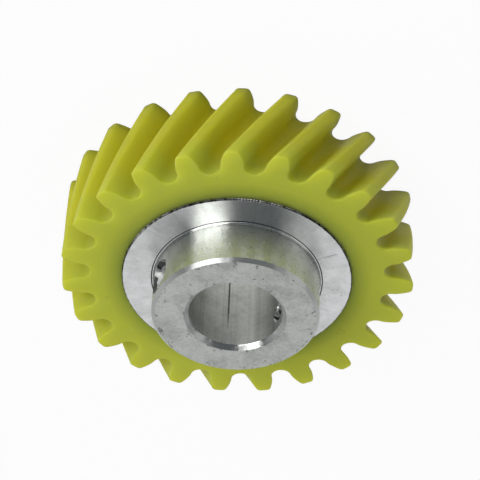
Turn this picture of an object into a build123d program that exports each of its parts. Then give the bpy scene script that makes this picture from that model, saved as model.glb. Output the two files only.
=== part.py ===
"""Worm wheel: a nylon ring with helical teeth, moulded round the knurled rim of a turned aluminium hub.

The back face lies on the XY plane, and +Z runs along the shaft axis towards the hub's boss. Sizes are in
millimetres.
"""

import os
from math import acos, cos, degrees, pi, radians, sin, tan

from build123d import *

# Bore and walls, from the shaft outwards: the boss's wall, the flange face round the boss, and the nylon that
# carries the teeth
BORE_DIAMETER = 12.0
BOSS_WALL = 4.8
FLANGE_WIDTH = 4.2
RING_WALL = 4.2

# Teeth, in the plane of rotation. The tooth takes a share of the pitch on the pitch circle, and its flanks
# run a depth inside that circle, where the rounded root begins
TEETH = 23
TOOTH_ADDENDUM = 1.7
TOOTH_DEDENDUM = 2.1
TOOTH_SHARE = 0.485
PRESSURE_ANGLE = 15.2
TIP_CHAMFER = 0.28
FLANK_DEPTH = 0.9

# The helix is right-hand, with its angle measured on the pitch circle, and runs in straight bands up the face
HELIX_ANGLE = 30.8
FACE_WIDTH = 11.75
HELIX_BANDS = 5

# Turned hub: the flange's rise past the nylon's face, and the broken edges
FLANGE_RISE = 0.3
BOSS_CHAMFER = 0.45
BOSS_CORNER = 0.25
BORE_CHAMFER = 0.58

# Straight knurl on the hub's rim, which the nylon fills
KNURL_GROOVES = 120
KNURL_DEPTH = 0.3

# Holes across the middle of the boss on one axis, turned from the X axis: the retaining pin's, and a smaller
# one to drive it out. The metal above and below the pin's hole sets the boss's height
PIN_HOLE_DIAMETER = 4.8
PIN_HOLE_WALL = 0.775
PIN_HOLE_TURN = -24.2
DRIVE_HOLE_DIAMETER = 2.8

# How far a cutter reaches past the metal or nylon that it removes
OVERCUT = 1.0

bore_radius = BORE_DIAMETER / 2
boss_radius = bore_radius + BOSS_WALL
rim_radius = boss_radius + FLANGE_WIDTH
root_radius = rim_radius + RING_WALL
pitch_radius = root_radius + TOOTH_DEDENDUM
tip_radius = pitch_radius + TOOTH_ADDENDUM
flange_height = FACE_WIDTH + FLANGE_RISE
boss_height = PIN_HOLE_DIAMETER + 2 * PIN_HOLE_WALL
turn_per_rise = degrees(tan(radians(HELIX_ANGLE)) / pitch_radius)


def involute(angle):
    """The involute function of an angle in radians."""
    return tan(angle) - angle


def flank_point(radius, side):
    """Where a flank of the gap on the X axis crosses a circle. Inside the base circle it runs along a ray."""
    base_radius = pitch_radius * cos(radians(PRESSURE_ANGLE))
    roll = acos(min(1.0, base_radius / radius))
    tooth_half_angle = pi * TOOTH_SHARE / TEETH + involute(radians(PRESSURE_ANGLE)) - involute(roll)
    half_angle = pi / TEETH - tooth_half_angle
    return radius * cos(half_angle), side * radius * sin(half_angle)


def gap_outline():
    """The gap between two teeth, on the X axis: involute flanks, and a root rounded in one arc."""
    radii = (pitch_radius - FLANK_DEPTH, pitch_radius, tip_radius)
    outside = tip_radius + OVERCUT
    with BuildSketch() as gap:
        with BuildLine():
            left = ThreePointArc(*[flank_point(radius, 1) for radius in radii])
            right = ThreePointArc(*[flank_point(radius, -1) for radius in radii])
            ThreePointArc(left @ 0, (root_radius, 0), right @ 0)
            Polyline(left @ 1, (outside, (left @ 1).Y), (outside, (right @ 1).Y), right @ 1)
        make_face()
    return gap.sketch


def gear_outline():
    """The gear in plan: a disc with the gaps cut in it and the corners of the tip lands broken."""
    with BuildSketch() as gear:
        Circle(tip_radius)
        with PolarLocations(0, TEETH):
            add(gap_outline(), mode=Mode.SUBTRACT)
        corners = gear.vertices().filter_by(lambda v: abs(v.center().length - tip_radius) < 0.01)
        chamfer(corners, length=TIP_CHAMFER)
    return gear.sketch


def rim_outline():
    """The hub's rim in plan: the ridges and V grooves of the knurl by turns round its edge."""
    ridge = Vector(rim_radius, 0, 0)
    groove = Vector(rim_radius - KNURL_DEPTH, 0, 0)
    half_pitch = 360 / KNURL_GROOVES / 2
    corners = []
    for k in range(KNURL_GROOVES):
        corners.append(ridge.rotate(Axis.Z, half_pitch * 2 * k))
        corners.append(groove.rotate(Axis.Z, half_pitch * (2 * k + 1)))
    with BuildSketch() as rim:
        with BuildLine():
            Polyline(*corners, close=True)
        make_face()
    return rim.sketch


# Nylon ring: the outline turns with the helix through the face width, and the hub's knurl shapes its bore
outline = gear_outline()
with BuildPart() as toothed_ring:
    for band in range(HELIX_BANDS + 1):
        rise = FACE_WIDTH * band / HELIX_BANDS
        with BuildSketch(Plane.XY.offset(rise)):
            add(outline, rotation=turn_per_rise * rise)
    loft(ruled=True)
    with BuildSketch():
        add(rim_outline())
    extrude(amount=FACE_WIDTH, mode=Mode.SUBTRACT)
toothed_ring.part.label = "toothed_ring"

# Hub: the knurled rim, then the boss, the bore and the holes across the boss
with BuildPart() as hub:
    with BuildSketch():
        add(rim_outline())
    extrude(amount=flange_height)
    with BuildSketch(Plane.XY.offset(flange_height)):
        Circle(boss_radius)
    extrude(amount=boss_height)
    rings = hub.edges().filter_by(GeomType.CIRCLE).sort_by(Axis.Z)
    chamfer(rings[0], length=BOSS_CORNER)
    chamfer(hub.faces().sort_by(Axis.Z)[-1].outer_wire().edges(), length=BOSS_CHAMFER)
    Hole(bore_radius)
    mouths = hub.edges().filter_by(GeomType.CIRCLE).filter_by(lambda e: abs(e.radius - bore_radius) < 0.01)
    chamfer(mouths, length=BORE_CHAMFER)
    across = Vector(1, 0, 0).rotate(Axis.Z, PIN_HOLE_TURN)
    for direction, diameter in ((across * -1, PIN_HOLE_DIAMETER), (across, DRIVE_HOLE_DIAMETER)):
        with BuildSketch(Plane(origin=(0, 0, flange_height + boss_height / 2), z_dir=direction)):
            Circle(diameter / 2)
        extrude(amount=boss_radius + OVERCUT, mode=Mode.SUBTRACT)
hub.part.label = "hub"

os.makedirs("parts", exist_ok=True)
for piece in (toothed_ring, hub):
    export_step(piece.part, f"parts/{piece.part.label}.step")
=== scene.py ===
"""Worm wheel: a nylon ring with helical teeth on a turned aluminium hub, dressed for its photograph.

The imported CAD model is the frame. Two finer pieces take the places of its two nodes, in metres, with the back
face on the floor and +Z along the shaft axis towards the hub's boss.
"""

import logging
import math
from dataclasses import dataclass
from enum import Enum
from typing import Any, Iterable

import bmesh
import bpy
from mathutils import Matrix, Vector


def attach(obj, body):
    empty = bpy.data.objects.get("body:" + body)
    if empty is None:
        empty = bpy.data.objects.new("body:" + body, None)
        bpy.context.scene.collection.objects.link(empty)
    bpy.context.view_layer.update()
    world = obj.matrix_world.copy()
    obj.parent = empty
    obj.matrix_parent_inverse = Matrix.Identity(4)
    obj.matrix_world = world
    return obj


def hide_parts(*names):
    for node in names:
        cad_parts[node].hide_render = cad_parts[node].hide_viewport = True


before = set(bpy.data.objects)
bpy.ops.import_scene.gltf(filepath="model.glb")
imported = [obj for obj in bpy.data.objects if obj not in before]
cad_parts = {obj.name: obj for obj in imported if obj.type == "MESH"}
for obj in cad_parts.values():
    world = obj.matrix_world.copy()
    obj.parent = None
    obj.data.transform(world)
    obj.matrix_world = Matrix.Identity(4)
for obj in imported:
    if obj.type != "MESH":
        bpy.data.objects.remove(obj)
LOG = logging.getLogger("worm_wheel")
Colour = tuple[float, float, float]
Socket = bpy.types.NodeSocket
MM = 0.001
PHOTO_SIDE = 480
BODY = "root"
WHITE = (1.0, 1.0, 1.0)

# Points nearer to each other than MERGE are one point, and a height within NEAR of another is the same height
MERGE = 1e-7
NEAR = 1e-6

# Sizes that the pieces share with their finishes and the camera, as in the CAD model
TIP_RADIUS = 23.0 * MM
ROOT_RADIUS = 19.2 * MM
RIM_RADIUS = 15.0 * MM
BOSS_RADIUS = 10.8 * MM
FACE_WIDTH = 11.75 * MM
FLANGE_HEIGHT = 12.05 * MM
BOSS_TOP = 18.4 * MM
BOSS_CHAMFER = 0.45 * MM
BOSS_CORNER = 0.25 * MM
PIN_HEIGHT = 15.225 * MM
PIN_TURN = math.radians(-24.2)
PIN_HOLE_RADIUS = 2.4 * MM
DRIVE_HOLE_RADIUS = 1.4 * MM

# How much smoother and how much rougher than its mean a finish gets in places
SMOOTHER = 0.05
ROUGHER = 0.08


class Node(Enum):
    """The CAD nodes that finer pieces stand for."""

    RING = "toothed_ring"
    HUB = "hub"


class Slot(Enum):
    """The material slots."""

    NYLON = "nylon"
    METAL = "aluminium"


class HubFinish(Enum):
    """The hub's finishes, with the material number that its faces carry."""

    TURNED = 0
    FACED = 1
    REAMED = 2


def at(radius: float, turn: float) -> Vector:
    """The point at a radius and a turn about the shaft axis, at the height of the back face."""
    return Vector((radius * math.cos(turn), radius * math.sin(turn), 0))


class Shader:
    """A node tree that is being filled, with short ways to add and join its nodes."""

    def __init__(self, tree: bpy.types.NodeTree) -> None:
        """Keeps the tree, emptied of its nodes."""
        self.tree = tree
        tree.nodes.clear()

    def node(self, kind: str, settings: dict[str, Any] | None = None, **inputs: Any) -> bpy.types.Node:
        """Adds a node.

        Args:
            kind: the node's type name without its ShaderNode prefix.
            settings: the node's own properties.
            inputs: socket values or sockets to join, by socket name with spaces as underscores.

        Returns:
            The new node.
        """
        new = self.tree.nodes.new("ShaderNode" + kind)
        for name, value in (settings or {}).items():
            setattr(new, name, value)
        for name, value in inputs.items():
            self.feed(new.inputs[name.replace("_", " ")], value)
        return new

    def feed(self, socket: Socket, value: Any) -> None:
        """Joins a socket to another socket, or sets its value.

        Args:
            socket: the input socket.
            value: a socket to join it to, or its value.
        """
        if isinstance(value, bpy.types.NodeSocket):
            self.tree.links.new(value, socket)
        else:
            socket.default_value = value

    def math(self, operation: str, *values: Any) -> Socket:
        """Adds a Math node.

        Args:
            operation: the node's operation.
            values: its inputs in order, numbers or sockets.

        Returns:
            The node's result socket.
        """
        new = self.node("Math", {"operation": operation})
        for socket, value in zip(new.inputs, values):
            self.feed(socket, value)
        return new.outputs[0]

    def times(self, first: Any, second: Any) -> Socket:
        """Multiplies two values."""
        return self.math("MULTIPLY", first, second)

    def total(self, start: Any, *terms: tuple[Any, Any]) -> Socket:
        """Adds several masks to a start, each times its amount.

        Args:
            start: the value before any mask is added.
            terms: each mask with its amount.

        Returns:
            The last sum's socket.
        """
        for mask, amount in terms:
            start = self.math("ADD", start, self.times(mask, amount))
        return start

    def ramp(self, value: Any, low: float, high: float, to_low: Any = 0.0, to_high: Any = 1.0) -> Socket:
        """Adds a Map Range node that is clamped.

        Args:
            value: the socket to map.
            low: the value that becomes to_low.
            high: the value that becomes to_high.
            to_low: the result at low.
            to_high: the result at high.

        Returns:
            The node's result socket.
        """
        new = self.node("MapRange")
        names = ("Value", "From Min", "From Max", "To Min", "To Max")
        for name, amount in zip(names, (value, low, high, to_low, to_high)):
            self.feed(new.inputs[name], amount)
        return new.outputs["Result"]

    def past(self, value: Socket, edge: float, blur: float) -> Socket:
        """A mask that goes from 0 to 1 where a value passes an edge."""
        return self.ramp(value, edge - blur, edge + blur)

    def before(self, value: Socket, edge: float, blur: float) -> Socket:
        """A mask that goes from 1 to 0 where a value passes an edge."""
        return self.ramp(value, edge - blur, edge + blur, 1.0, 0.0)

    def noise(self, place: Any, scale: Any, detail: float, roughness: float = 0.5) -> Socket:
        """Adds a Noise Texture node and gives its value's socket."""
        return self.node("TexNoise", Vector=place, Scale=scale, Detail=detail, Roughness=roughness).outputs[0]

    def along(self, place: Any, direction: Vector) -> Socket:
        """Measures how far a point lies in a direction.

        Args:
            place: the point, a vector socket.
            direction: a unit vector.

        Returns:
            The distance's socket.
        """
        new = self.node("VectorMath", {"operation": "DOT_PRODUCT"}, Vector=place)
        new.inputs[1].default_value = direction
        return new.outputs["Value"]

    def polar(self, place: Any) -> tuple[Socket, Socket, Socket]:
        """Finds where a point lies about the shaft axis.

        Args:
            place: the point, a vector socket.

        Returns:
            Its radius, its height, and the flat unit vector that points to it from the axis.
        """
        apart = self.node("SeparateXYZ", Vector=place)
        flat = self.node("CombineXYZ", X=apart.outputs[0], Y=apart.outputs[1])
        radius = self.node("VectorMath", {"operation": "LENGTH"}, Vector=flat.outputs[0]).outputs["Value"]
        toward = self.node("VectorMath", {"operation": "NORMALIZE"}, Vector=flat.outputs[0]).outputs["Vector"]
        return radius, apart.outputs[2], toward

    def blend(self, factor: Any, first: Any, second: Any, mode: str = "MIX") -> Socket:
        """Adds a colour Mix node.

        Args:
            factor: how far the result goes towards the second colour.
            first: the first colour, three numbers or a socket.
            second: the second colour, three numbers or a socket.
            mode: the node's blend type.

        Returns:
            The node's colour socket.
        """
        new = self.node("Mix", {"data_type": "RGBA", "blend_type": mode})
        sockets = {socket.identifier: socket for socket in new.inputs}
        self.feed(sockets["Factor_Float"], factor)
        for name, value in (("A_Color", first), ("B_Color", second)):
            self.feed(sockets[name], (*value, 1.0) if isinstance(value, tuple) else value)
        return next(socket for socket in new.outputs if socket.identifier == "Result_Color")

    def layers(self, colour: Any, *layers: tuple[Any, float, Any]) -> Socket:
        """Lays several colours over a first one.

        Args:
            colour: the first colour.
            layers: each further colour after its mask and its share where the mask is 1.

        Returns:
            The last blend's colour socket.
        """
        for mask, share, over in layers:
            colour = self.blend(self.times(mask, share), colour, over)
        return colour

    def wear(self, marks: bpy.types.NodeTree, place: Any, **scales: float) -> tuple[Socket, Socket, Socket]:
        """Adds the shared handling marks.

        Args:
            marks: their node group.
            place: the point, a vector socket.
            scales: the group's scales, by input name with spaces as underscores.

        Returns:
            The sockets of the specks, the pits and the scratches.
        """
        outputs = self.node("Group", {"node_tree": marks}, Vector=place, **scales).outputs
        return outputs["Specks"], outputs["Pits"], outputs["Scratches"]

    def end_as_metal(self, colour: Any, rough: Any, relief: Any, strength: float, anisotropy: float) -> None:
        """Ends the tree in metal whose grain runs round the shaft axis and draws highlights out across it.

        Args:
            colour: the metal's colour.
            rough: its roughness.
            relief: the height of its fine relief.
            strength: how strongly the relief shows.
            anisotropy: how far the grain draws the highlights out.
        """
        bump = self.node("Bump", Strength=strength, Distance=0.03 * MM, Height=relief)
        around = self.node("Tangent", {"direction_type": "RADIAL", "axis": "Z"})
        shader = self.node("BsdfPrincipled", Base_Color=colour, Roughness=rough, Metallic=1.0,
                           Anisotropic=anisotropy, Anisotropic_Rotation=0.25, Normal=bump.outputs[0],
                           Tangent=around.outputs[0])
        self.node("OutputMaterial", Surface=shader.outputs[0])


def new_material(name: str) -> tuple[bpy.types.Material, Shader, Socket]:
    """Makes an empty material.

    Args:
        name: its name.

    Returns:
        The material, its nodes, and the socket of the point in Object coordinates.
    """
    material = bpy.data.materials.new(name)
    material.use_nodes = True
    sh = Shader(material.node_tree)
    return material, sh, sh.node("TexCoord").outputs["Object"]


class GroupMaker:
    """Makes a shader node group with named inputs and outputs."""

    def __init__(self, name: str, inputs: dict[str, float], outputs: Iterable[str]) -> None:
        """Makes the group.

        Args:
            name: the group's name.
            inputs: the number inputs and their defaults, which follow a vector input named Vector.
            outputs: the number outputs.
        """
        self.tree = bpy.data.node_groups.new(name, "ShaderNodeTree")
        self.tree.interface.new_socket("Vector", in_out="INPUT", socket_type="NodeSocketVector")
        for label, value in inputs.items():
            socket = self.tree.interface.new_socket(label, in_out="INPUT", socket_type="NodeSocketFloat")
            socket.default_value = value
        for label in outputs:
            self.tree.interface.new_socket(label, in_out="OUTPUT", socket_type="NodeSocketFloat")
        self.shader = Shader(self.tree)
        self.inside = self.tree.nodes.new("NodeGroupInput")
        self.result = self.tree.nodes.new("NodeGroupOutput")


def make_marks_group() -> bpy.types.NodeTree:
    """Makes the wear that the nylon and the metal share: fine specks, small pits and thin scratches.

    Returns:
        The node group, with outputs Specks, Pits and Scratches between 0 and 1.
    """
    maker = GroupMaker("handling_marks", {"Speck Scale": 900.0, "Pit Scale": 500.0, "Scratch Scale": 300.0},
                       ("Specks", "Pits", "Scratches"))
    sh, given, result = maker.shader, maker.inside.outputs, maker.result.inputs
    place = given["Vector"]

    specks = sh.noise(place, given["Speck Scale"], detail=4.0, roughness=0.75)
    sh.feed(result["Specks"], sh.ramp(specks, low=0.36, high=0.66))

    # Pits gather where a coarse noise is high
    ragged = sh.noise(place, given["Pit Scale"], detail=3.0, roughness=0.8)
    gathered = sh.noise(place, scale=160.0, detail=1.0)
    chance = sh.total(ragged, (gathered, 0.22))
    sh.feed(result["Pits"], sh.ramp(chance, low=0.775, high=0.83))

    # Scratches are a noise drawn out along one direction, which turns from place to place
    bend = sh.noise(place, scale=120.0, detail=1.0)
    turned = sh.node("VectorRotate", {"rotation_type": "Z_AXIS"}, Vector=place, Angle=bend)
    drawn_out = sh.node("Mapping", Vector=turned.outputs[0], Scale=(1.0, 0.14, 1.0))
    lines = sh.noise(drawn_out.outputs[0], given["Scratch Scale"], detail=2.0, roughness=0.6)
    sh.feed(result["Scratches"], sh.ramp(lines, low=0.62, high=0.70))
    return maker.tree


@dataclass(frozen=True)
class MouldedNylon:
    """Yellow-green nylon, smooth from its mould, and a little translucent, with painted light on its front
    face, a painted glow down its gaps and painted shade beside the metal.
    """

    colour: Colour = (0.40, 0.43, 0.052)
    face_light_colour: Colour = (0.55, 0.60, 0.062)
    gap_glow_colour: Colour = (0.66, 0.60, 0.014)
    rim_shade_colour: Colour = (0.25, 0.34, 0.036)
    cloud_colour: Colour = (0.44, 0.42, 0.06)
    pit_colour: Colour = (0.12, 0.11, 0.02)
    roughness: float = 0.60
    glow_reach: float = 6.0 * MM
    glow_by_colour: Colour = (1.0, 0.95, 0.2)
    front_depth: float = 3.6 * MM
    gap_depth: float = 3.5 * MM
    gap_mouth: float = 0.3 * MM
    tip_skin: float = 0.3 * MM
    skin: float = 0.2 * MM
    skin_full: float = 0.02 * MM
    rim_shade_reach: float = 2.6 * MM
    face_light_share: float = 0.65
    gap_glow_share: float = 0.85
    tip_glow_share: float = 0.45
    rim_shade_share: float = 0.65

    def make(self, marks: bpy.types.NodeTree) -> bpy.types.Material:
        """Makes the material.

        Args:
            marks: the shared group of handling marks.

        Returns:
            The material.
        """
        material, sh, place = new_material("moulded_nylon")
        radius, level, _ = sh.polar(place)
        specks, pits, scratches = sh.wear(marks, place, Speck_Scale=700.0, Pit_Scale=260.0,
                                          Scratch_Scale=200.0)
        clouds = sh.noise(place, scale=110.0, detail=3.0)
        ripple = sh.noise(place, scale=420.0, detail=2.0)

        # Painted light and shade by where the point lies: a yellow glow of bounced light down in a gap, paler
        # light near the front face and on its skin, and shade beside the metal
        gap_glow = sh.ramp(level, FACE_WIDTH - self.gap_depth, FACE_WIDTH - self.gap_mouth, self.gap_glow_share, 0.0)
        depth = sh.ramp(radius, ROOT_RADIUS, TIP_RADIUS - self.tip_skin, 1.0, self.tip_glow_share)
        light_near_face = sh.ramp(level, FACE_WIDTH - self.front_depth, FACE_WIDTH - self.skin,
                            to_high=self.face_light_share)
        light_on_skin = sh.ramp(level, FACE_WIDTH - self.skin, FACE_WIDTH - self.skin_full,
                          to_high=1.0 - self.face_light_share)
        shade_by_metal = sh.ramp(radius, RIM_RADIUS, RIM_RADIUS + self.rim_shade_reach, 1.0, 0.0)

        # Painted glow: a deeper, yellower colour down the gaps stands in for light bouncing inside them, fading
        # towards the tips
        colour = sh.blend(sh.times(depth, gap_glow), self.colour, self.gap_glow_colour)
        # Painted light: the front face and the skin near it are paler, as if lit from above
        colour = sh.blend(sh.math("ADD", light_near_face, light_on_skin), colour, self.face_light_colour)
        # Painted shade: the nylon is darker and greener beside the metal, where the two parts meet
        colour = sh.layers(colour, (shade_by_metal, self.rim_shade_share, self.rim_shade_colour))
        colour = sh.blend(sh.ramp(clouds, low=0.3, high=0.7, to_high=0.16), colour, self.cloud_colour)
        colour = sh.layers(colour, (pits, 0.10, self.pit_colour))

        relief = sh.total(ripple, (scratches, -0.25))
        bump = sh.node("Bump", Strength=0.12, Distance=0.4 * MM, Height=relief)
        rough = sh.ramp(specks, low=0.0, high=1.0, to_low=self.roughness - SMOOTHER,
                        to_high=self.roughness + ROUGHER)
        shader = sh.node("BsdfPrincipled", Base_Color=colour, Roughness=rough, IOR=1.5,
                         Specular_IOR_Level=0.18, Subsurface_Weight=1.0, Subsurface_Scale=self.glow_reach,
                         Subsurface_Radius=self.glow_by_colour, Normal=bump.outputs[0])
        sh.node("OutputMaterial", Surface=shader.outputs[0])
        return material


@dataclass(frozen=True)
class HubZones:
    """Masks of the hub's zones: sockets that are 1, or on the knurl nearly 1, in their zone and 0 outside."""

    flange: Socket
    chamfer: Socket
    corner: Socket
    groove: Socket
    knurl: Socket
    hole: Socket


@dataclass(frozen=True)
class TurnedAluminium:
    """Bright aluminium from the lathe: its flange brushed and its boss smooth, with its knurl and the groove at
    the boss's foot painted dark with shade, and painted shade and glints on the walls of its holes.
    """

    colour: Colour = (0.92, 0.93, 0.92)
    stain: Colour = (0.66, 0.67, 0.64)
    boss_colour: Colour = (0.74, 0.76, 0.72)
    chamfer_colour: Colour = (0.70, 0.71, 0.69)
    gap_shade_colour: Colour = (0.05, 0.05, 0.04)
    speck_colour: Colour = (0.40, 0.41, 0.38)
    pit_colour: Colour = (0.14, 0.14, 0.12)
    hole_shade_colour: Colour = (0.03, 0.03, 0.03)
    flange_roughness: float = 0.31
    boss_roughness: float = 0.25
    anisotropy: float = 1.0
    flange_skin: float = 0.04 * MM
    corner_top: float = 0.28 * MM
    groove_top: float = 0.02 * MM
    groove_bottom: float = 0.175 * MM
    groove_blur: float = 0.025 * MM
    knurl_depth: float = 0.135 * MM
    knurl_blur: float = 0.015 * MM
    knurl_share: float = 0.97
    torn_depth: float = 0.05 * MM
    change_over: float = 1.0 * MM
    sharp: float = 0.01 * MM
    soft: float = 0.02 * MM

    def in_holes(self, sh: Shader, place: Socket, height: Socket) -> Socket:
        """Finds the torn walls of the holes across the boss. The two radii change over at the shaft axis.

        Args:
            sh: the material's nodes.
            place: the point.
            height: the point's height.

        Returns:
            A socket that is 1 on the walls.
        """
        side = sh.along(place, at(1.0, PIN_TURN))
        away = sh.along(place, at(1.0, PIN_TURN + math.pi / 2))
        wall = sh.ramp(side, -self.change_over, self.change_over, PIN_HOLE_RADIUS + self.torn_depth,
                       DRIVE_HOLE_RADIUS + self.torn_depth)
        rise = sh.math("SUBTRACT", height, PIN_HEIGHT)
        square = sh.math("ADD", sh.math("POWER", away, 2.0), sh.math("POWER", rise, 2.0))
        past_wall = sh.math("SUBTRACT", sh.math("SQRT", square), wall)
        return sh.before(past_wall, self.soft, self.soft)

    def zones(self, sh: Shader, place: Socket, radius: Socket, height: Socket) -> HubZones:
        """Finds the zones that are finished apart.

        Args:
            sh: the material's nodes.
            place: the point.
            radius: its distance from the shaft axis.
            height: its height.

        Returns:
            The zones' masks.
        """
        near_boss = sh.before(radius, BOSS_RADIUS + BOSS_CORNER, self.sharp)
        low_on_boss = sh.before(height, FLANGE_HEIGHT + self.corner_top, self.soft)
        below_flange = sh.before(height, FLANGE_HEIGHT - self.groove_top, self.sharp)
        in_reach = sh.past(height, FLANGE_HEIGHT - self.groove_bottom, self.groove_blur)
        on_rim = sh.past(radius, RIM_RADIUS - self.knurl_depth, self.knurl_blur)
        return HubZones(
            flange=sh.before(height, FLANGE_HEIGHT + self.flange_skin, self.soft),
            chamfer=sh.past(height, BOSS_TOP - BOSS_CHAMFER, self.sharp),
            corner=sh.times(near_boss, low_on_boss),
            groove=sh.times(below_flange, in_reach),
            knurl=sh.times(on_rim, self.knurl_share),
            hole=self.in_holes(sh, place, height),
        )

    def make(self, marks: bpy.types.NodeTree) -> bpy.types.Material:
        """Makes the material.

        Args:
            marks: the shared group of handling marks.

        Returns:
            The material.
        """
        material, sh, place = new_material("turned_aluminium")
        radius, height, toward = sh.polar(place)
        zones = self.zones(sh, place, radius, height)
        off_flange = sh.math("SUBTRACT", 1.0, zones.flange)

        # Marks of the lathe run round the axis, and scores and stains on the flange run out from it
        specks, pits, scratches = sh.wear(marks, place, Speck_Scale=2600.0, Pit_Scale=2400.0,
                                          Scratch_Scale=1500.0)
        section = sh.node("CombineXYZ", X=radius, Y=height).outputs[0]
        rings = sh.noise(section, scale=6500.0, detail=2.0, roughness=0.6)
        spokes = sh.noise(toward, scale=26.0, detail=5.0, roughness=0.7)
        scores = sh.noise(toward, scale=70.0, detail=1.0)
        patches = sh.noise(place, scale=330.0, detail=2.0)
        scored = sh.times(sh.ramp(scores, low=0.60, high=0.70, to_high=zones.flange),
                          sh.ramp(patches, low=0.50, high=0.58))
        dents = sh.noise(place, scale=420.0, detail=2.0)
        clouds = sh.noise(place, scale=420.0, detail=5.0, roughness=0.7)
        torn = sh.node("TexVoronoi", Vector=place, Scale=1100.0, Randomness=1.0).outputs
        # Painted shade and glints: the holes' walls get random facets of near black and of white
        facet = sh.node("SeparateColor", Color=torn["Color"]).outputs[0]
        facet_glint_and_shade = sh.blend(sh.ramp(facet, low=0.42, high=0.58), self.hole_shade_colour, WHITE)
        # Painted shadow: dark dashes between the knurl's ridges, where the nylon meets the hub
        knurl_shade = sh.times(zones.knurl, sh.ramp(spokes, low=0.46, high=0.56, to_low=0.1))

        # Colours: a layer is its mask, its share and its colour
        colour = sh.blend(sh.ramp(clouds, low=0.40, high=0.74, to_high=0.55), self.colour, self.stain)
        colour = sh.blend(sh.ramp(spokes, low=0.50, high=0.72, to_high=0.45), colour, self.stain)
        colour = sh.blend(off_flange, colour, self.boss_colour, "MULTIPLY")
        colour = sh.layers(colour, (specks, 0.16, self.speck_colour), (pits, 0.7, self.pit_colour),
                           (zones.chamfer, 0.6, self.chamfer_colour), (scored, 0.5, WHITE),
                           (zones.hole, 0.85, facet_glint_and_shade))
        # Painted shade: the knurl's dashes and the groove at the boss's foot take the dark colour
        colour = sh.blend(sh.math("MAXIMUM", knurl_shade, zones.groove), colour, self.gap_shade_colour)

        # Roughness and relief: a term is its mask and its amount
        rough = sh.total(self.boss_roughness, (zones.flange, self.flange_roughness - self.boss_roughness))
        rough = sh.math("ADD", rough, sh.ramp(clouds, low=0.3, high=0.75, to_low=-SMOOTHER, to_high=ROUGHER))
        rough = sh.total(rough, (zones.chamfer, 0.12), (zones.knurl, 0.35), (scored, 0.30),
                         (zones.hole, 0.20), (zones.corner, -0.08))

        relief = sh.total(sh.times(rings, 0.35), (sh.times(dents, off_flange), 10.0),
                          (sh.times(torn["Distance"], zones.hole), 9.0), (specks, 0.35), (scratches, -0.6),
                          (pits, -0.9))
        sh.end_as_metal(colour, rough, relief, strength=0.35, anisotropy=self.anisotropy)
        return material


@dataclass(frozen=True)
class DullAluminium:
    """The same aluminium without the lathe's shine: even on the end face, streaked along the bore."""

    name: str
    colour: Colour
    stain: Colour
    roughness: float
    anisotropy: float = 0.0
    streaks: float = 0.0
    nicks: float = 0.0
    streak_colour: Colour = (0.10, 0.10, 0.09)
    ring_colour: Colour = (0.85, 0.86, 0.84)
    nick_colour: Colour = (0.06, 0.06, 0.05)
    speck_colour: Colour = (0.38, 0.39, 0.35)
    scratch_colour: Colour = (0.90, 0.91, 0.90)
    pit_colour: Colour = (0.13, 0.13, 0.11)
    outer_edge: float = 10.35 * MM
    inner_edge: float = 6.58 * MM
    outer_wear: float = 0.9 * MM
    inner_wear: float = 0.7 * MM
    score_turn: float = math.radians(257.0)
    score_half_width: float = math.radians(1.6)
    score_full: float = 12.4 * MM
    score_end: float = 15.5 * MM

    def make(self, marks: bpy.types.NodeTree) -> bpy.types.Material:
        """Makes the material.

        Args:
            marks: the shared group of handling marks.

        Returns:
            The material.
        """
        material, sh, place = new_material(self.name)
        radius, height, toward = sh.polar(place)
        specks, pits, scratches = sh.wear(marks, place, Speck_Scale=2600.0, Pit_Scale=1900.0,
                                          Scratch_Scale=1700.0)
        clouds = sh.noise(place, scale=340.0, detail=6.0, roughness=0.75)
        spokes = sh.noise(toward, scale=7.0, detail=2.0, roughness=0.6)
        section = sh.node("CombineXYZ", X=radius, Y=height).outputs[0]
        rings = sh.noise(section, scale=2200.0, detail=3.0, roughness=0.7)
        nicks = sh.noise(place, scale=1500.0, detail=3.0, roughness=0.7)

        # Nicks are more likely beside the chamfers, and one score runs along the bore from its back
        by_edge = sh.math("MAXIMUM", sh.ramp(radius, self.outer_edge - self.outer_wear, self.outer_edge),
                          sh.ramp(radius, self.inner_edge, self.inner_edge + self.inner_wear, 1.0, 0.0))
        nicked = sh.ramp(sh.total(nicks, (by_edge, 0.10)), low=0.66, high=0.72, to_high=self.nicks)
        to_score = sh.along(toward, at(1.0, self.score_turn))
        score = sh.ramp(to_score, low=math.cos(self.score_half_width), high=1.0, to_high=2.0 * self.streaks)
        score = sh.times(score, sh.ramp(height, self.score_full, self.score_end, 1.0, 0.0))

        colour = sh.blend(sh.ramp(clouds, low=0.44, high=0.64, to_high=0.8), self.colour, self.stain)
        colour = sh.layers(colour, (sh.ramp(spokes, low=0.50, high=0.80), self.streaks, self.streak_colour),
                           (sh.ramp(rings, low=0.50, high=0.70), 0.4 * self.streaks, self.ring_colour))
        colour = sh.blend(sh.math("MAXIMUM", score, nicked), colour, self.nick_colour)
        colour = sh.layers(colour, (specks, 0.25, self.speck_colour), (scratches, 0.15, self.scratch_colour),
                           (pits, 0.75, self.pit_colour))
        rough = sh.ramp(clouds, low=0.3, high=0.75, to_low=self.roughness - SMOOTHER,
                        to_high=self.roughness + ROUGHER)
        relief = sh.math("SUBTRACT", sh.times(specks, 0.5), pits)
        sh.end_as_metal(colour, rough, relief, strength=0.4, anisotropy=self.anisotropy)
        return material


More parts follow.
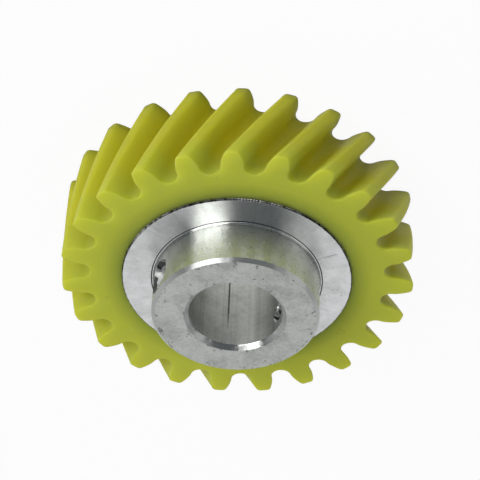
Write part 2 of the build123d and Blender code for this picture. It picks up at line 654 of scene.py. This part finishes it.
@dataclass(frozen=True)
class PaperWhite:
    """The pale sheet that the wheel lies on, almost white to the camera and to metal, with a soft shadow."""

    colour: Colour = (0.9, 0.9, 0.9)
    grain_colour: Colour = (0.8, 0.8, 0.8)
    white_share: float = 0.94

    def make(self) -> bpy.types.Material:
        """Makes the material.

        Returns:
            The material.
        """
        material, sh, place = new_material("paper_white")
        grain = sh.noise(place, scale=900.0, detail=2.0)
        tint = sh.blend(sh.ramp(grain, low=0.3, high=0.7, to_high=0.04), self.colour, self.grain_colour)
        paper = sh.node("BsdfDiffuse", Color=tint)
        white = sh.node("Emission", Color=(*WHITE, 1.0), Strength=1.0)
        path = sh.node("LightPath").outputs
        seen = sh.math("MAXIMUM", path["Is Camera Ray"], path["Is Glossy Ray"])
        seen = sh.math("MAXIMUM", seen, path["Is Transmission Ray"])
        both = sh.node("MixShader", Fac=sh.times(seen, self.white_share))
        sh.feed(both.inputs[1], paper.outputs[0])
        sh.feed(both.inputs[2], white.outputs[0])
        sh.node("OutputMaterial", Surface=both.outputs[0])
        return material


@dataclass
class Piece:
    """What every piece does with its finished mesh."""

    name: str
    node: Node
    slot: Slot
    sharp_angle: float = math.radians(40.0)

    def finish(self, bm: bmesh.types.BMesh, *materials: bpy.types.Material) -> None:
        """Turns a bmesh into a piece that rides on the wheel's body.

        Args:
            bm: the finished bmesh, which is freed.
            materials: the piece's materials, in the order of its faces' material numbers.
        """
        bmesh.ops.remove_doubles(bm, verts=bm.verts, dist=MERGE)
        bmesh.ops.recalc_face_normals(bm, faces=bm.faces)
        mesh = bpy.data.meshes.new(self.name)
        bm.to_mesh(mesh)
        bm.free()
        mesh.shade_smooth()
        mesh.set_sharp_from_angle(angle=self.sharp_angle)
        piece = bpy.data.objects.new(self.name, mesh)
        bpy.context.scene.collection.objects.link(piece)
        weighted = piece.modifiers.new("flat_faces_lead", "WEIGHTED_NORMAL")
        weighted.keep_sharp = True
        weighted.weight = 90
        for material in materials:
            mesh.materials.append(material)
        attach(piece, BODY)
        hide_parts(self.node.value)
        LOG.info("%s: %d faces, in place of %s", self.name, len(mesh.polygons), self.node.value)


def open_edges(bm: bmesh.types.BMesh, height: float) -> list[bmesh.types.BMEdge]:
    """Finds the edges at a height that have at most one face."""
    found = [e for e in bm.edges if all(abs(v.co.z - height) < NEAR for v in e.verts)]
    return [e for e in found if len(e.link_faces) < 2]


@dataclass
class Knurl:
    """The straight knurl between the hub's rim and the nylon."""

    depth: float = 0.12 * MM
    ridges: int = 240

    def lay_loop(self, bm: bmesh.types.BMesh, z: float) -> None:
        """Adds the knurl's outline to a bmesh.

        Args:
            bm: the bmesh.
            z: the outline's height.
        """
        made = bmesh.ops.create_circle(bm, cap_ends=False, radius=RIM_RADIUS, segments=2 * self.ridges,
                                       matrix=Matrix.Translation((0, 0, z)))
        for vert in made["verts"][::2]:
            vert.co.xy *= (RIM_RADIUS - self.depth) / RIM_RADIUS


@dataclass
class ToothedRing(Piece):
    """The moulded ring: 23 right-hand helical teeth round a bore that the hub's knurl fills."""

    teeth: int = 23
    pitch_radius: float = 21.3 * MM
    flank_radius: float = 20.4 * MM
    tooth_share: float = 0.485
    pressure_angle: float = math.radians(15.2)
    helix_angle: float = math.radians(30.8)
    tip_rounding: float = 0.68 * MM
    rounding_on_flank: float = 0.55
    rounding_on_land: float = 0.62
    edge_rounding: float = 0.22 * MM
    root_steps: int = 8
    flank_steps: int = 6
    tip_steps: int = 4
    land_steps: int = 2
    edge_steps: int = 5
    helix_steps: int = 20

    def half_gap(self, radius: float) -> float:
        """Half the angle of the gap between two teeth on the circle of a radius.

        Args:
            radius: the circle's radius.

        Returns:
            The angle between the middle of the gap and the involute flank.
        """
        base = self.pitch_radius * math.cos(self.pressure_angle)
        roll = math.acos(min(1.0, base / radius))
        rise = math.tan(self.pressure_angle) - self.pressure_angle - math.tan(roll) + roll
        return math.pi / self.teeth - math.pi * self.tooth_share / self.teeth - rise

    def root_points(self) -> list[Vector]:
        """The rounded root, from the middle of the gap to the foot of the flank.

        Returns:
            The points in order, without the foot itself.
        """
        foot = at(self.flank_radius, self.half_gap(self.flank_radius))
        reach = foot.x - ROOT_RADIUS
        arc_radius = (reach * reach + foot.y * foot.y) / (2 * reach)
        centre = Vector((ROOT_RADIUS + arc_radius, 0, 0))
        sweep = math.atan2(foot.y, centre.x - foot.x)
        turns = [sweep * k / self.root_steps for k in range(self.root_steps)]
        return [centre + arc_radius * Vector((-math.cos(turn), math.sin(turn), 0)) for turn in turns]

    def flank_points(self) -> list[Vector]:
        """The involute flank, from its foot to where the tip's rounding begins.

        Returns:
            The points in order.
        """
        top = TIP_RADIUS - self.rounding_on_flank * self.tip_rounding
        steps = range(self.flank_steps + 1)
        radii = [self.flank_radius + (top - self.flank_radius) * k / self.flank_steps for k in steps]
        return [at(radius, self.half_gap(radius)) for radius in radii]

    def half_pitch_points(self) -> list[Vector]:
        """The outline from the middle of a gap's root to the middle of the next tooth's tip.

        Returns:
            The points in order, in the plane of the back face.
        """
        points = self.root_points() + self.flank_points()
        corner_turn = self.half_gap(TIP_RADIUS)
        corner = at(TIP_RADIUS, corner_turn)
        land_turn = corner_turn + self.rounding_on_land * self.tip_rounding / TIP_RADIUS
        land = at(TIP_RADIUS, land_turn)
        start = points[-1]
        for k in range(1, self.tip_steps):
            share = k / self.tip_steps
            points.append(start.lerp(corner, share).lerp(corner.lerp(land, share), share))
        middle = math.pi / self.teeth
        for k in range(self.land_steps + 1):
            points.append(at(TIP_RADIUS, land_turn + (middle - land_turn) * k / self.land_steps))
        return points

    def outline(self, bm: bmesh.types.BMesh) -> list[bmesh.types.BMEdge]:
        """Makes the closed outline of the teeth at the back face.

        Args:
            bm: the bmesh that gets the outline.

        Returns:
            The outline's edges.
        """
        half = [bm.verts.new(point) for point in self.half_pitch_points()]
        edges = [bm.edges.new(pair) for pair in zip(half, half[1:])]
        bmesh.ops.mirror(bm, geom=half + edges, axis="Y", merge_dist=MERGE)
        copies = self.teeth - 1
        bmesh.ops.spin(bm, geom=bm.verts[:] + bm.edges[:], cent=(0, 0, 0), axis=(0, 0, 1),
                       angle=math.tau * copies / self.teeth, steps=copies, use_duplicate=True)
        bmesh.ops.remove_doubles(bm, verts=bm.verts, dist=NEAR)
        return list(bm.edges)

    def side_end(self, end: float) -> float:
        """The height at which the side's rounding begins, for an end face's height."""
        return self.edge_rounding if end < FACE_WIDTH / 2 else FACE_WIDTH - self.edge_rounding

    def round_end(self, bm: bmesh.types.BMesh, end: float) -> None:
        """Closes one end with a face whose edge is rounded, and opens it for the bore.

        Args:
            bm: the bmesh with the helical side.
            end: the end face's height.
        """
        side = open_edges(bm, self.side_end(end))
        face = bmesh.ops.contextual_create(bm, geom=side)["faces"][0]
        bmesh.ops.recalc_face_normals(bm, faces=bm.faces)
        for k in range(self.edge_steps):
            before, after = (math.pi / 2 * (k + j) / self.edge_steps for j in (0, 1))
            bmesh.ops.inset_individual(bm, faces=[face], use_even_offset=True,
                                       thickness=self.edge_rounding * (math.cos(before) - math.cos(after)),
                                       depth=self.edge_rounding * (math.sin(after) - math.sin(before)))
        bmesh.ops.delete(bm, geom=[face], context="FACES_ONLY")

    def build(self, knurl: Knurl, material: bpy.types.Material) -> None:
        """Builds the ring.

        Args:
            knurl: the knurl that shapes its bore.
            material: the nylon.
        """
        bm = bmesh.new()
        edges = self.outline(bm)
        twist = math.tan(self.helix_angle) / self.pitch_radius
        low, high = self.side_end(0), self.side_end(FACE_WIDTH)
        turned = Matrix.Translation((0, 0, low)) @ Matrix.Rotation(twist * low, 4, "Z")
        bmesh.ops.transform(bm, matrix=turned, verts=bm.verts)
        bmesh.ops.spin(bm, geom=edges, cent=(0, 0, 0), axis=(0, 0, 1), angle=twist * (high - low),
                       steps=self.helix_steps, dvec=(0, 0, (high - low) / self.helix_steps))
        for end in (0.0, FACE_WIDTH):
            self.round_end(bm, end)
        for end in (0.0, FACE_WIDTH):
            knurl.lay_loop(bm, end)
            bmesh.ops.triangle_fill(bm, use_beauty=True, use_dissolve=False, edges=open_edges(bm, end))
        bmesh.ops.bridge_loops(bm, edges=[e for e in bm.edges if e.is_boundary])
        self.finish(bm, material)


@dataclass
class TurnedHub(Piece):
    """The turned hub: knurled rim, flange face, boss, bore, and the two holes across the boss."""

    bore_radius: float = 6.0 * MM
    bore_chamfer: float = 0.58 * MM
    rim_chamfer: float = 0.05 * MM
    corner_steps: int = 5
    groove_mouth: float = 0.16 * MM
    groove_floor: float = 0.12 * MM
    groove_wall: float = 0.03 * MM
    groove_depth: float = 0.10 * MM
    hole_segments: int = 72
    mouth_bevel: float = 0.07 * MM
    mouth_angle: float = math.radians(35.0)
    face_skin: float = 0.01 * MM
    bore_skin: float = 0.02 * MM

    def corner_points(self) -> list[tuple[float, float]]:
        """The hollow round at the foot of the boss, with a fine groove that the tool left.

        Returns:
            Radius and height of each point, from the flange to the boss.
        """
        foot = BOSS_RADIUS + BOSS_CORNER
        points = [
            (foot + self.groove_mouth, FLANGE_HEIGHT),
            (foot + self.groove_floor, FLANGE_HEIGHT - self.groove_depth),
            (foot + self.groove_wall, FLANGE_HEIGHT - self.groove_depth),
        ]
        for k in range(self.corner_steps + 1):
            turn = math.pi / 2 * k / self.corner_steps
            points.append((BOSS_RADIUS + BOSS_CORNER * (1 - math.sin(turn)),
                           FLANGE_HEIGHT + BOSS_CORNER * (1 - math.cos(turn))))
        return points

    def half_section(self) -> list[tuple[float, float]]:
        """The hub's section on one side of the axis.

        Returns:
            Radius and height of each corner, from the bore's back mouth round to it again.
        """
        lip = self.bore_radius + self.bore_chamfer
        edge = RIM_RADIUS - self.rim_chamfer
        return [
            (lip, 0.0),
            (edge, 0.0),
            (RIM_RADIUS, self.rim_chamfer),
            (RIM_RADIUS, FLANGE_HEIGHT - self.rim_chamfer),
            (edge, FLANGE_HEIGHT),
            *self.corner_points(),
            (BOSS_RADIUS, BOSS_TOP - BOSS_CHAMFER),
            (BOSS_RADIUS - BOSS_CHAMFER, BOSS_TOP),
            (lip, BOSS_TOP),
            (self.bore_radius, BOSS_TOP - self.bore_chamfer),
            (self.bore_radius, self.bore_chamfer),
        ]

    def lathe(self, knurl: Knurl) -> bmesh.types.BMesh:
        """Turns the section into the hub, and cuts the knurl in its rim.

        Args:
            knurl: the knurl on the rim.

        Returns:
            The bmesh.
        """
        bm = bmesh.new()
        corners = [bm.verts.new((radius, 0, z)) for radius, z in self.half_section()]
        edges = [bm.edges.new(pair) for pair in zip(corners, corners[1:] + corners[:1])]
        bmesh.ops.spin(bm, geom=corners + edges, cent=(0, 0, 0), axis=(0, 0, 1), angle=math.tau,
                       steps=2 * knurl.ridges, use_merge=True)
        step = math.pi / knurl.ridges
        rim_inside = RIM_RADIUS - 1.5 * self.rim_chamfer
        for vert in bm.verts:
            reach = vert.co.xy.length
            line = round(math.atan2(vert.co.y, vert.co.x) / step)
            if reach > rim_inside and line % 2 == 0:
                vert.co.xy *= (reach - knurl.depth) / reach
        bmesh.ops.recalc_face_normals(bm, faces=bm.faces)
        return bm

    def drill(self, bm: bmesh.types.BMesh, turn: float, radius: float) -> bmesh.types.BMesh:
        """Drills one hole from the bore out through the boss.

        Args:
            bm: the hub, which is freed.
            turn: the hole's direction about the axis.
            radius: the hole's radius.

        Returns:
            The drilled hub.
        """
        cutter = bmesh.new()
        reach = 2 * BOSS_RADIUS
        across = Matrix.Rotation(turn, 4, "Z") @ Matrix.Rotation(math.pi / 2, 4, "Y")
        outward = across @ Matrix.Translation((0, 0, reach / 2))
        bmesh.ops.create_cone(cutter, cap_ends=True, segments=self.hole_segments, radius1=radius,
                              radius2=radius, depth=reach,
                              matrix=Matrix.Translation((0, 0, PIN_HEIGHT)) @ outward)
        objects = []
        for name, part in (("hub_blank", bm), ("drill", cutter)):
            mesh = bpy.data.meshes.new(name)
            part.to_mesh(mesh)
            part.free()
            objects.append(bpy.data.objects.new(name, mesh))
            bpy.context.scene.collection.objects.link(objects[-1])
        cut = objects[0].modifiers.new("hole", "BOOLEAN")
        cut.operation = "DIFFERENCE"
        cut.solver = "EXACT"
        cut.object = objects[1]
        bpy.context.view_layer.update()
        drilled = bmesh.new()
        drilled.from_object(objects[0], bpy.context.evaluated_depsgraph_get())
        for thing in objects:
            mesh = thing.data
            bpy.data.objects.remove(thing)
            bpy.data.meshes.remove(mesh)
        return drilled

    def break_mouths(self, bm: bmesh.types.BMesh) -> None:
        """Bevels the sharp edges round the drilled holes.

        Args:
            bm: the drilled hub.
        """
        axis = at(1.0, PIN_TURN)
        centre = Vector((0, 0, PIN_HEIGHT))

        def off_wall(co: Vector) -> float:
            """How far a point is from the wall of the hole on its side of the shaft axis.

            Args:
                co: the point.

            Returns:
                The distance.
            """
            away = co - centre
            side = away.dot(axis)
            radius = DRIVE_HOLE_RADIUS if side > 0 else PIN_HOLE_RADIUS
            return abs((away - side * axis).length - radius)

        mouths = []
        for edge in bm.edges:
            on_wall = all(off_wall(v.co) < 2 * NEAR for v in edge.verts)
            if on_wall and len(edge.link_faces) == 2 and edge.calc_face_angle() > self.mouth_angle:
                mouths.append(edge)
        bmesh.ops.bevel(bm, geom=mouths, offset=self.mouth_bevel, offset_type="OFFSET", segments=2,
                        profile=0.5, affect="EDGES", material=-1, clamp_overlap=True)

    def finish_of(self, face: bmesh.types.BMFace) -> HubFinish:
        """Says which finish a face has.

        Args:
            face: the face.

        Returns:
            Its finish.
        """
        centre = face.calc_center_median()
        if centre.z > BOSS_TOP - self.face_skin:
            return HubFinish.FACED
        if centre.xy.length < self.bore_radius + self.bore_skin:
            return HubFinish.REAMED
        return HubFinish.TURNED

    def build(self, knurl: Knurl, finishes: dict[HubFinish, bpy.types.Material]) -> None:
        """Builds the hub.

        Args:
            knurl: the knurl on its rim.
            finishes: the material of each finish, in the order of the finishes' numbers.
        """
        bm = self.lathe(knurl)
        bm = self.drill(bm, PIN_TURN + math.pi, PIN_HOLE_RADIUS)
        bm = self.drill(bm, PIN_TURN, DRIVE_HOLE_RADIUS)
        bmesh.ops.remove_doubles(bm, verts=bm.verts, dist=NEAR)
        self.break_mouths(bm)
        for face in bm.faces:
            face.material_index = self.finish_of(face).value
        self.finish(bm, *finishes.values())


@dataclass(frozen=True)
class PhotoCamera:
    """The camera of the photograph, fitted to the rims, the boss and the teeth."""

    pixels_per_mm: float = 7.68
    distance: float = 276.17 * MM
    elevation: float = math.radians(43.578)
    tilt: float = math.radians(-2.391)
    aside: float = -0.42 * MM
    above: float = -5.318 * MM
    turn: float = math.radians(4.226)
    sensor: float = 36.0

    def place(self) -> None:
        """Adds the camera to the scene and makes it the scene's camera."""
        sin_e, cos_e = math.sin(self.elevation), math.cos(self.elevation)
        up = Vector((math.sin(self.tilt) * cos_e, -math.cos(self.tilt) * cos_e, sin_e))
        across = Vector((0, 0, 1)).cross(up).normalized()
        across = across if across.x > 0 else -across
        away = up.cross(across)
        to_camera = Matrix((across, away, up)).transposed() @ Matrix.Rotation(self.turn, 3, "Z")
        offset = Vector((self.aside, self.above, -self.distance))
        back = to_camera.transposed()
        data = bpy.data.cameras.new("photo_camera")
        data.sensor_fit = "HORIZONTAL"
        data.sensor_width = self.sensor
        data.lens = self.sensor * self.pixels_per_mm * self.distance / MM / PHOTO_SIDE
        data.clip_start = 0.01
        data.clip_end = 10.0
        camera = bpy.data.objects.new("photo_camera", data)
        stand = Matrix.Translation(back @ -offset + Vector((0, 0, FLANGE_HEIGHT)))
        camera.matrix_world = stand @ back.to_4x4()
        bpy.context.scene.collection.objects.link(camera)
        bpy.context.scene.camera = camera
        LOG.info("camera: lens %.1f mm", data.lens)


@dataclass(frozen=True)
class Softbox:
    """A soft light with a plain rectangular face, hung by its direction from the wheel."""

    name: str
    azimuth: float
    elevation: float
    distance: float
    width: float
    height: float
    level: float

    def hang(self) -> None:
        """Adds the light, facing the wheel."""
        data = bpy.data.lights.new(self.name, "AREA")
        data.shape = "RECTANGLE"
        data.size, data.size_y = self.width, self.height
        data.energy = self.level * math.pi * self.width * self.height
        light = bpy.data.objects.new(self.name, data)
        azimuth, elevation = math.radians(self.azimuth), math.radians(self.elevation)
        away = at(math.cos(elevation), azimuth) + Vector((0, 0, math.sin(elevation)))
        light.location = away * self.distance
        light.rotation_euler = (-away).to_track_quat("-Z", "Y").to_euler()
        bpy.context.scene.collection.objects.link(light)


@dataclass(frozen=True)
class Studio:
    """The pale floor, the even light of the room and the softboxes."""

    room_level: float = 0.115
    room_colour: Colour = (0.91, 1.0, 1.12)
    floor_side: float = 3.0
    floor_gap: float = 0.01 * MM
    softboxes: tuple[Softbox, ...] = (
        Softbox("main_softbox", azimuth=126.5, elevation=37.0, distance=0.40, width=0.235, height=0.40,
                level=3.5),
        Softbox("far_left_softbox", azimuth=224.0, elevation=43.0, distance=0.28, width=0.36, height=0.20,
                level=0.60),
        Softbox("far_right_softbox", azimuth=298.0, elevation=40.0, distance=0.42, width=0.34, height=0.30,
                level=0.62),
        Softbox("right_softbox", azimuth=-12.0, elevation=52.0, distance=0.45, width=0.20, height=0.20,
                level=1.0),
        Softbox("low_front_softbox", azimuth=70.0, elevation=5.0, distance=0.60, width=0.50, height=0.06,
                level=0.7),
        Softbox("low_right_softbox", azimuth=15.0, elevation=8.0, distance=0.50, width=0.40, height=0.10,
                level=0.9),
    )

    def light_room(self) -> None:
        """Gives the world an even light, and shows it to the camera as white."""
        world = bpy.data.worlds.new("studio_room")
        bpy.context.scene.world = world
        world.use_nodes = True
        sh = Shader(world.node_tree)
        path = sh.node("LightPath")
        even = sh.node("Background", Color=(*self.room_colour, 1.0), Strength=self.room_level)
        white = sh.node("Background", Color=(*WHITE, 1.0), Strength=1.0)
        both = sh.node("MixShader", Fac=path.outputs["Is Camera Ray"])
        sh.feed(both.inputs[1], even.outputs[0])
        sh.feed(both.inputs[2], white.outputs[0])
        sh.node("OutputWorld", Surface=both.outputs[0])

    def lay_floor(self) -> None:
        """Lays the floor just under the back face, so that the two don't share a plane."""
        bm = bmesh.new()
        bmesh.ops.create_grid(bm, x_segments=4, y_segments=4, size=self.floor_side / 2,
                              matrix=Matrix.Translation((0, 0, -self.floor_gap)))
        mesh = bpy.data.meshes.new("studio_floor")
        bm.to_mesh(mesh)
        bm.free()
        floor = bpy.data.objects.new("studio_floor", mesh)
        bpy.context.scene.collection.objects.link(floor)
        mesh.materials.append(PaperWhite().make())

    def build(self) -> None:
        """Builds the floor, the room's light and the softboxes."""
        self.light_room()
        self.lay_floor()
        for softbox in self.softboxes:
            softbox.hang()
        LOG.info("studio: floor, room light and %d softboxes", len(self.softboxes))


def make_hub_finishes(marks: bpy.types.NodeTree) -> dict[HubFinish, bpy.types.Material]:
    """Makes the hub's materials.

    Args:
        marks: the shared group of handling marks.

    Returns:
        The material of each finish, in the order of the finishes' numbers.
    """
    faced = DullAluminium("faced_aluminium", colour=(0.82, 0.83, 0.79), stain=(0.57, 0.58, 0.54),
                          roughness=0.56, nicks=0.75)
    reamed = DullAluminium("reamed_aluminium", colour=(0.66, 0.67, 0.64), stain=(0.50, 0.51, 0.48),
                           roughness=0.46, anisotropy=0.6, streaks=0.5)
    return {
        HubFinish.TURNED: TurnedAluminium().make(marks),
        HubFinish.FACED: faced.make(marks),
        HubFinish.REAMED: reamed.make(marks),
    }


def main() -> None:
    """Builds the studio, the camera and the wheel's two pieces."""
    logging.basicConfig(level=logging.INFO, format="%(message)s")
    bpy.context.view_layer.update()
    bpy.context.scene.view_settings.view_transform = "Standard"
    Studio().build()
    PhotoCamera().place()
    marks = make_marks_group()
    knurl = Knurl()
    ToothedRing("moulded_ring", Node.RING, Slot.NYLON).build(knurl, MouldedNylon().make(marks))
    TurnedHub("turned_hub", Node.HUB, Slot.METAL).build(knurl, make_hub_finishes(marks))


if __name__ == "__main__":
    main()
